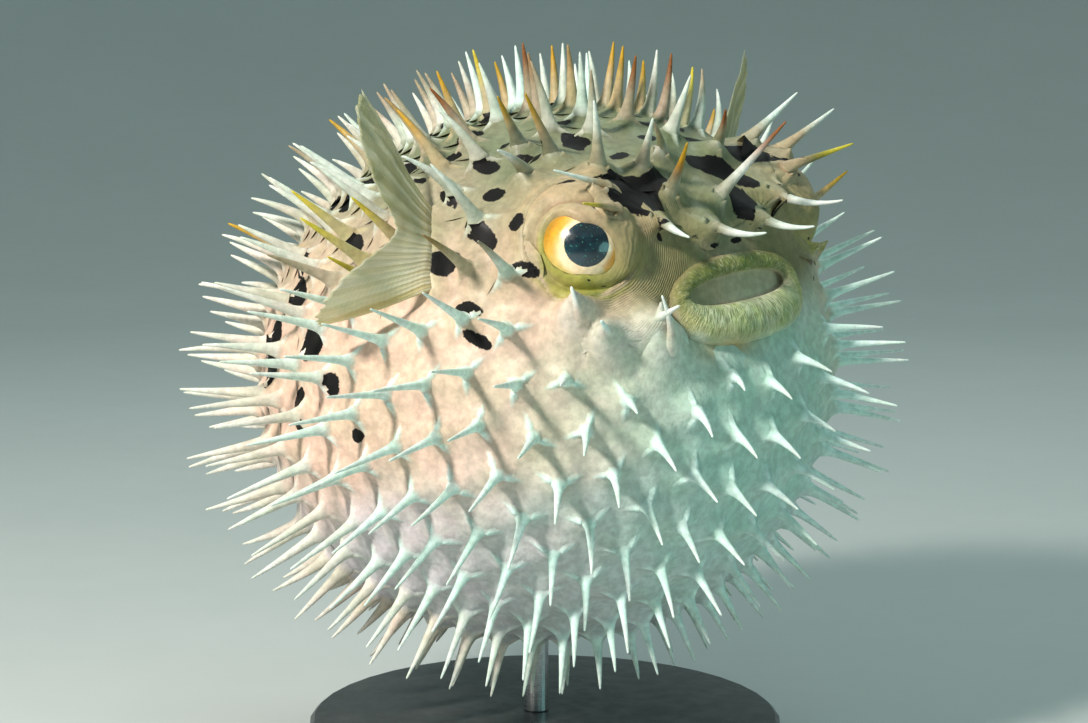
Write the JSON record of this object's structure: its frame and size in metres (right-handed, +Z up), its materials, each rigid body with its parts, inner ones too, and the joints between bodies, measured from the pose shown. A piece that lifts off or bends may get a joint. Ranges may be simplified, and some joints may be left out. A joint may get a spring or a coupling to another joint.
{
  "type": "inflated porcupinefish display model",
  "caption": "Life-size inflated porcupinefish, a round spiny ball with a snout, fins and a short tail, held on a slim rod over a flat round base.",
  "frame": {"origin": "centre of the stand base's underside", "axes": "+Z up; +X the way the fish faces; +Y to the fish's left. The fish is pitched nose up and rolled left side up by 5 degrees each."},
  "size_m": [0.2381, 0.2256, 0.2228],
  "materials": {
    "skin": "soft satin, stands in for wet fish skin",
    "fin": "satin, stands in for fin membrane",
    "eye": "gloss",
    "base": "satin dark paint",
    "steel": "brushed"
  },
  "bodies": {
    "root": {"head": "skin", "trunk": "skin", "tail": "skin", "eye_right": "eye", "eye_left": "eye", "pectoral_fin_right": "fin", "pectoral_fin_left": "fin", "dorsal_fin": "fin", "anal_fin": "fin", "caudal_fin": "fin", "stand_base": "base", "stand_rod": "steel"}
  },
  "joints": []
}
